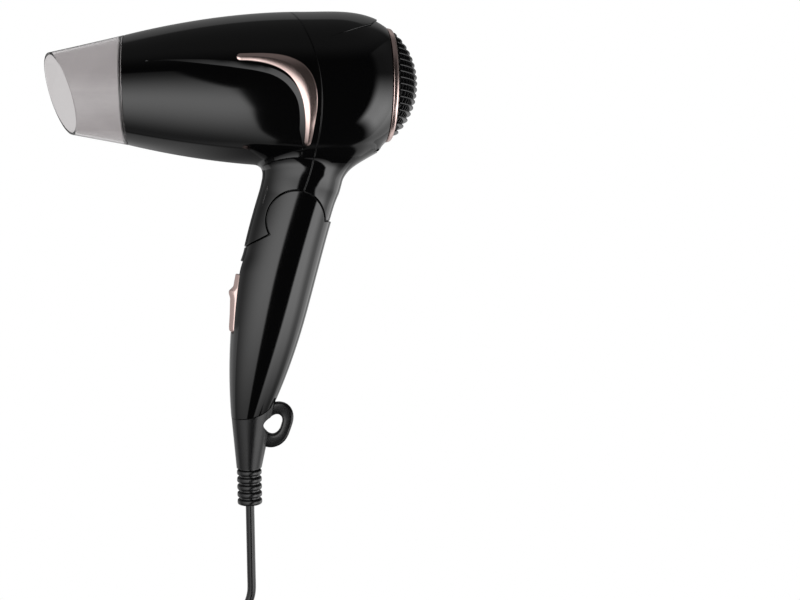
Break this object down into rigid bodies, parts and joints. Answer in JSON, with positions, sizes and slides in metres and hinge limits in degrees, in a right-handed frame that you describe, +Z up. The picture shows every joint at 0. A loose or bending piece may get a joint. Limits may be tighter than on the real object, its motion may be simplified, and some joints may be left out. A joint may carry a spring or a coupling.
{
  "type": "folding travel hair dryer",
  "caption": "Folding travel hair dryer with a tapered barrel, clear turning concentrator nozzle, thumb slide switch, hanging loop and a tied mains cord with plug.",
  "frame": {"origin": "middle of the grip, on its axis, half way between the hinge seam and the cord guard", "axes": "+X towards the air intake, so the air blows along -X; +Z up from the grip to the head; Y across the head"},
  "size_m": [0.205, 0.1242, 0.3603],
  "materials": {
    "gloss_black": "high gloss",
    "rose_gold": "metallised, satin to gloss",
    "smoke_clear": "clear, smoke tint",
    "soft_black": "soft satin",
    "inner_black": "matt",
    "steel": "plated",
    "heat_wire": "drawn",
    "mica": "matt",
    "circuit_board": "matt",
    "lead_insulation": "matt"
  },
  "bodies": {
    "grip": {"grip_left": "gloss_black", "grip_right": "gloss_black", "hinge_pin": "steel", "hinge_washers": "inner_black", "grip_screws": "steel", "switch_body": "inner_black", "cord_clamp": "inner_black", "grip_leads": "lead_insulation", "cord_guard": "soft_black", "mains_cord": "soft_black", "cord_coil": "soft_black", "cord_tail": "soft_black", "cord_tie": "soft_black", "plug_body": "soft_black", "plug_pins": "steel"},
    "head": {"front_shell": "gloss_black", "rear_shell": "gloss_black", "trim_left": "rose_gold", "trim_right": "rose_gold", "intake_ring": "rose_gold", "intake_grille": "gloss_black", "motor_can": "steel", "motor_cap": "inner_black", "motor_mount": "inner_black", "rectifier_board": "circuit_board", "mica_upright": "mica", "mica_flat": "mica", "heating_coil": "heat_wire", "mica_sleeve": "mica", "thermal_cutout": "steel", "outlet_grille": "inner_black", "neck_screw": "steel"},
    "rotor": {"motor_shaft": "steel", "fan": "inner_black"},
    "nozzle": {"nozzle": "smoke_clear"},
    "slider": {"switch_slider": "rose_gold"}
  },
  "joints": [
    {"name": "head_fold", "type": "hinge", "parent": "grip", "child": "head", "pos_m": [0.017, 0, 0.05977], "axis": [0, -1, 0], "range_deg": [0, 80]},
    {"name": "nozzle_turn", "type": "hinge", "parent": "head", "child": "nozzle", "pos_m": [-0.08, 0, 0.13207], "axis": [1, 0, 0], "continuous": true},
    {"name": "fan_spin", "type": "hinge", "parent": "head", "child": "rotor", "pos_m": [0.03, 0, 0.13207], "axis": [1, 0, 0], "continuous": true},
    {"name": "switch_slide", "type": "slide", "parent": "grip", "child": "slider", "axis": [0.1305, 0, 0.9914], "range_m": [0, 0.007]}
  ]
}
